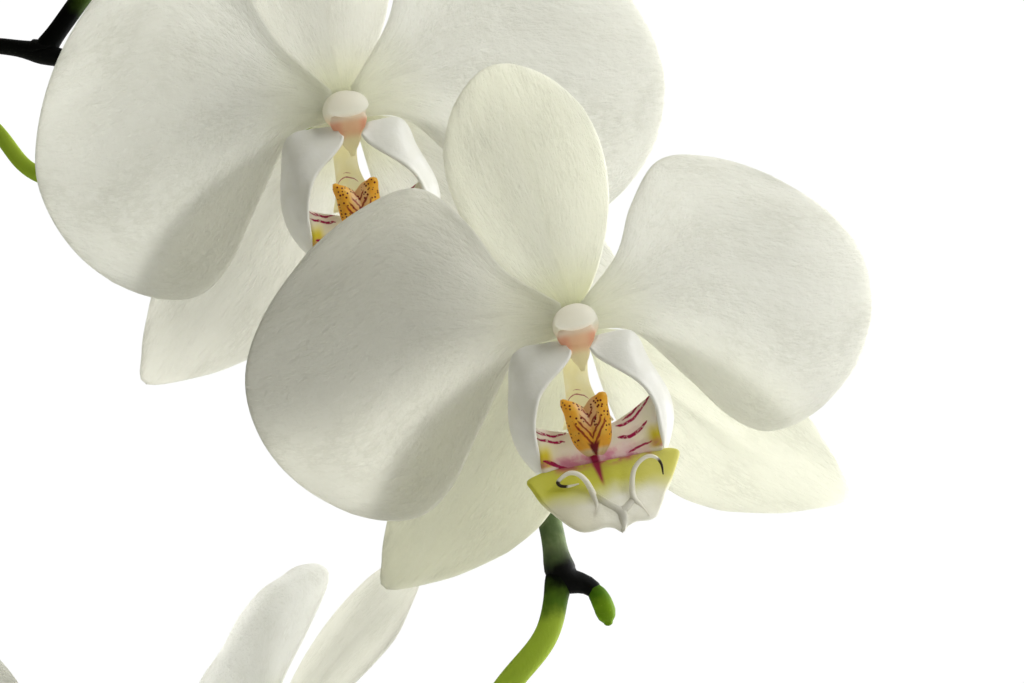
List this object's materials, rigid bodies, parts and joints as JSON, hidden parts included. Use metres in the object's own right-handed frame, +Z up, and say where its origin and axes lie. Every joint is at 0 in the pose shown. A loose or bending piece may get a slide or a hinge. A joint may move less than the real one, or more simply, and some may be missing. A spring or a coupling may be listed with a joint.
{
  "type": "potted orchid",
  "caption": "Flowering orchid in a plain tapered pot: strap leaves, aerial roots and an arching stalk that carries white flowers above a bark medium.",
  "frame": {"origin": "middle of the pot's flat underside, where the pot rests", "axes": "+Z up along the pot's axis, -Y towards the side that the flowers face"},
  "size_m": [0.4299, 0.2222, 0.5509],
  "materials": {
    "orchid_white": "satin, thin and translucent",
    "lip_cream": "satin, cream with yellow, orange and crimson marks",
    "column_white": "satin",
    "pedicel_green": "satin",
    "stalk_green": "satin",
    "bud_green": "satin",
    "leaf_green": "waxy, half gloss",
    "root_silver": "matt",
    "crown_green": "satin",
    "bark_brown": "rough chips",
    "pot_glaze": "smooth glaze"
  },
  "bodies": {
    "root": {"aerial_root_1": "root_silver", "aerial_root_2": "root_silver", "aerial_root_3": "root_silver", "aerial_root_4": "root_silver", "bark_medium": "bark_brown", "crown": "crown_green", "flower_a_column": "column_white", "flower_a_dorsal_sepal": "orchid_white", "flower_a_lateral_sepal_left": "orchid_white", "flower_a_lateral_sepal_right": "orchid_white", "flower_a_lip": "lip_cream", "flower_a_pedicel": "pedicel_green", "flower_a_petal_left": "orchid_white", "flower_a_petal_right": "orchid_white", "flower_b_column": "column_white", "flower_b_dorsal_sepal": "orchid_white", "flower_b_lateral_sepal_left": "orchid_white", "flower_b_lateral_sepal_right": "orchid_white", "flower_b_lip": "lip_cream", "flower_b_pedicel": "pedicel_green", "flower_b_petal_left": "orchid_white", "flower_b_petal_right": "orchid_white", "flower_c_column": "column_white", "flower_c_dorsal_sepal": "orchid_white", "flower_c_lateral_sepal_left": "orchid_white", "flower_c_lateral_sepal_right": "orchid_white", "flower_c_lip": "lip_cream", "flower_c_pedicel": "pedicel_green", "flower_c_petal_left": "orchid_white", "flower_c_petal_right": "orchid_white", "flower_d_column": "column_white", "flower_d_dorsal_sepal": "orchid_white", "flower_d_lateral_sepal_left": "orchid_white", "flower_d_lateral_sepal_right": "orchid_white", "flower_d_lip": "lip_cream", "flower_d_pedicel": "pedicel_green", "flower_d_petal_left": "orchid_white", "flower_d_petal_right": "orchid_white", "flower_e_column": "column_white", "flower_e_dorsal_sepal": "orchid_white", "flower_e_lateral_sepal_left": "orchid_white", "flower_e_lateral_sepal_right": "orchid_white", "flower_e_lip": "lip_cream", "flower_e_pedicel": "pedicel_green", "flower_e_petal_left": "orchid_white", "flower_e_petal_right": "orchid_white", "flower_stalk": "stalk_green", "leaf_1": "leaf_green", "leaf_2": "leaf_green", "leaf_3": "leaf_green", "leaf_4": "leaf_green", "leaf_5": "leaf_green", "leaf_6": "leaf_green", "pot": "pot_glaze", "terminal_bud": "bud_green"}
  },
  "joints": []
}
